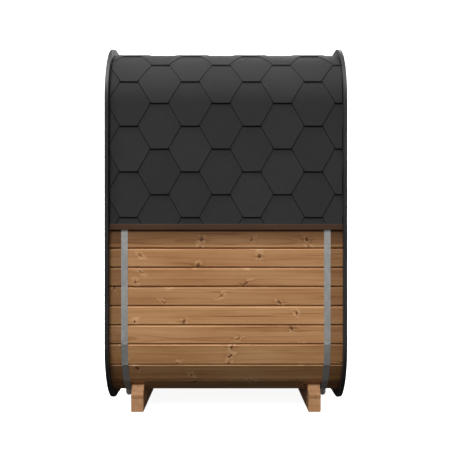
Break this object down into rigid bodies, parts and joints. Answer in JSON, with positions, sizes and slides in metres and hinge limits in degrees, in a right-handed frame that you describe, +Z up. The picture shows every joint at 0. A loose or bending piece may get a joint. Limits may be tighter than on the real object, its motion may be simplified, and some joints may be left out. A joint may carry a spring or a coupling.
{
  "type": "cube sauna",
  "caption": "Outdoor cube sauna: timber stave cabin of rounded square section with shingled roof, dark end trims, steel straps, plank end walls and cradle beams.",
  "frame": {"origin": "on the ground, under the middle of the cabin", "axes": "+X along the cabin towards the door at its front, +Y to the right of somebody facing the door, +Z up"},
  "size_m": [1.47, 2.06, 2.3],
  "materials": {
    "stave_wood": "thermally treated softwood staves, satin, with darker joints",
    "plank_wood": "thermally treated softwood planks, satin",
    "door_wood": "thermally treated softwood, planed and oiled",
    "cradle_wood": "sawn softwood",
    "batten_wood": "dark stained softwood",
    "trim_black": "black painted board, satin",
    "roof_shingle": "charcoal bitumen shingles with mineral granules, matt",
    "strap_steel": "dull galvanised strip",
    "hinge_steel": "satin"
  },
  "bodies": {
    "root": {"left_wall": "stave_wood", "right_wall": "stave_wood", "floor": "stave_wood", "ceiling": "stave_wood", "lower_left_corner": "stave_wood", "lower_right_corner": "stave_wood", "upper_left_corner": "stave_wood", "upper_right_corner": "stave_wood", "front_wall_left": "plank_wood", "front_wall_right": "plank_wood", "front_wall_head": "plank_wood", "front_wall_foot": "plank_wood", "back_wall": "plank_wood", "door_frame": "door_wood", "door_leaf": "door_wood", "door_hinges": "hinge_steel", "door_handles": "door_wood", "front_trim_top": "trim_black", "front_trim_bottom": "trim_black", "front_trim_uprights": "trim_black", "front_trim_corners": "trim_black", "back_trim_top": "trim_black", "back_trim_bottom": "trim_black", "back_trim_uprights": "trim_black", "back_trim_corners": "trim_black", "roof_top": "roof_shingle", "roof_left_corner": "roof_shingle", "roof_right_corner": "roof_shingle", "roof_left_side": "roof_shingle", "roof_right_side": "roof_shingle", "left_eaves_batten": "batten_wood", "right_eaves_batten": "batten_wood", "front_strap": "strap_steel", "front_strap_bottom": "strap_steel", "front_strap_bolts": "strap_steel", "back_strap": "strap_steel", "back_strap_bottom": "strap_steel", "back_strap_bolts": "strap_steel", "front_cradle": "cradle_wood", "back_cradle": "cradle_wood"}
  },
  "joints": []
}
